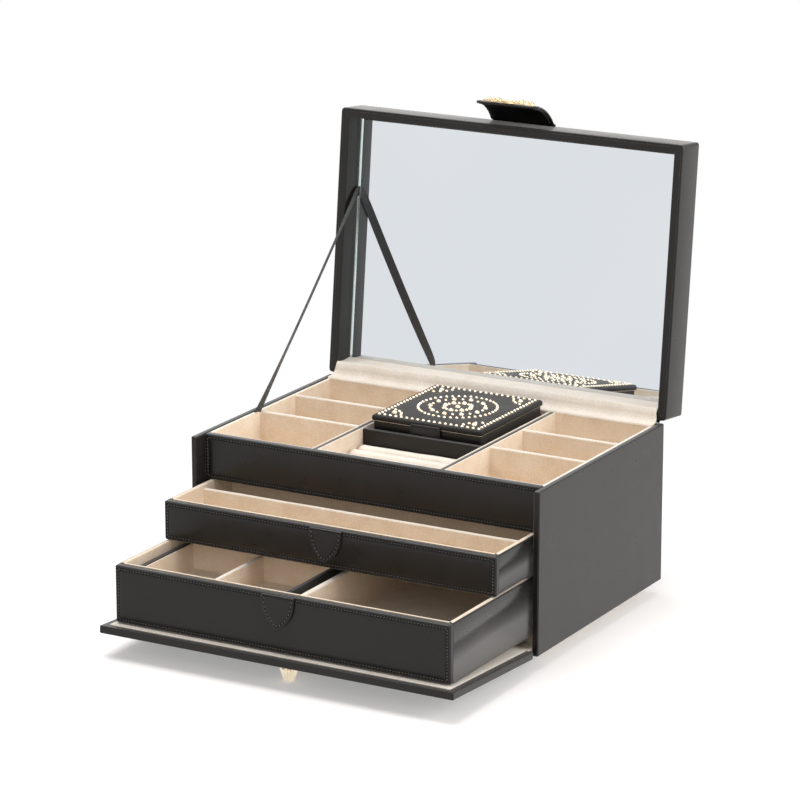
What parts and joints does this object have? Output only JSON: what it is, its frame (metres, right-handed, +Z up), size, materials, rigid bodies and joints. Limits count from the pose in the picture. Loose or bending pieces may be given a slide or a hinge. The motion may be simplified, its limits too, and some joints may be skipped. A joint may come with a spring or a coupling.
{
  "type": "tiered jewelry box",
  "caption": "Leather-covered tiered jewelry box with a mirrored lid, fitted top tray, sliding drawers, a drop front with a lock stud and a small travel case.",
  "frame": {"origin": "on the surface that the box stands on, under the middle of the opened box's outer size", "axes": "+Z up, -Y towards the front, where the drawers come out, +Y towards the opened lid, +X to the box's right as seen from the front"},
  "size_m": [0.302, 0.393, 0.3735],
  "materials": {
    "leather_black": "smooth, semi-matt, fine grain",
    "suede_cream": "short suede nap",
    "gold_metal": "polished pale gold",
    "mirror": "silvered glass",
    "ribbon_black": "flat woven ribbon"
  },
  "bodies": {
    "case": {"bottom_panel": "suede_cream", "side_panel_left": "leather_black", "side_panel_right": "leather_black", "back_panel": "leather_black", "drawer_deck": "suede_cream", "drawer_shelf": "leather_black", "tray_floor": "leather_black", "tray_front_panel": "leather_black", "feet": "leather_black", "left_bay_lining": "suede_cream", "centre_bay_lining": "suede_cream", "right_bay_lining": "suede_cream", "bay_wall_left": "leather_black", "bay_wall_right": "leather_black", "left_dividers": "suede_cream", "right_dividers": "suede_cream", "dock_wall": "leather_black", "ring_rolls": "suede_cream", "lid_hinge_lining": "suede_cream", "lid_hinge_strip": "leather_black", "lid_stay": "ribbon_black", "flap_hinge_strip": "leather_black", "flap_hinge_lining": "suede_cream"},
    "lid": {"lid_top_board": "leather_black", "lid_front_wall": "leather_black", "lid_back_wall": "leather_black", "lid_left_wall": "leather_black", "lid_right_wall": "leather_black", "mirror_glass": "mirror", "lid_ledge_lining": "suede_cream", "clasp_base": "leather_black"},
    "clasp": {"clasp_tongue": "leather_black", "clasp_plate": "gold_metal"},
    "drop_front": {"flap_board": "leather_black", "flap_lining": "suede_cream", "lock_stud": "gold_metal"},
    "upper_drawer": {"upper_front": "leather_black", "upper_box": "leather_black", "upper_pull": "leather_black", "upper_lining": "suede_cream", "upper_divider": "suede_cream"},
    "lower_drawer": {"lower_front": "leather_black", "lower_box": "leather_black", "lower_pull": "leather_black", "lower_lining": "suede_cream", "centre_wall": "suede_cream", "insert_tray": "leather_black", "insert_lining": "suede_cream", "insert_divider": "suede_cream"},
    "travel_case": {"mini_box": "leather_black", "mini_lining": "suede_cream"},
    "travel_lid": {"mini_lid": "leather_black", "mini_tab": "leather_black", "mini_nails": "gold_metal"}
  },
  "joints": [
    {"name": "lid_hinge", "type": "hinge", "parent": "case", "child": "lid", "pos_m": [0, 0.14375, 0.1396], "axis": [-1, 0, 0], "range_deg": [-96, 0], "deforming": ["lid_stay", "lid_hinge_strip", "lid_hinge_lining"]},
    {"name": "clasp_flex", "type": "hinge", "parent": "lid", "child": "clasp", "pos_m": [0, 0.18964, 0.35096], "axis": [-1, 0, 0], "range_deg": [-20, 0], "stiffness_Nm_per_rad": 0.03},
    {"name": "drop_front_hinge", "type": "hinge", "parent": "case", "child": "drop_front", "pos_m": [0, -0.07285, 0.0115], "axis": [-1, 0, 0], "range_deg": [-3.2, 0], "deforming": ["flap_hinge_strip", "flap_hinge_lining"]},
    {"name": "upper_drawer_slide", "type": "slide", "parent": "case", "child": "upper_drawer", "axis": [0, -1, 0], "range_m": [-0.063, 0.055]},
    {"name": "lower_drawer_slide", "type": "slide", "parent": "case", "child": "lower_drawer", "axis": [0, -1, 0], "range_m": [-0.1315, 0.02]},
    {"name": "travel_case_lift", "type": "slide", "parent": "case", "child": "travel_case", "axis": [0, 0, 1], "range_m": [0, 0.045]},
    {"name": "travel_lid_hinge", "type": "hinge", "parent": "travel_case", "child": "travel_lid", "pos_m": [0.0038, 0.1295, 0.1426], "axis": [-1, 0, 0], "range_deg": [0, 95]}
  ]
}
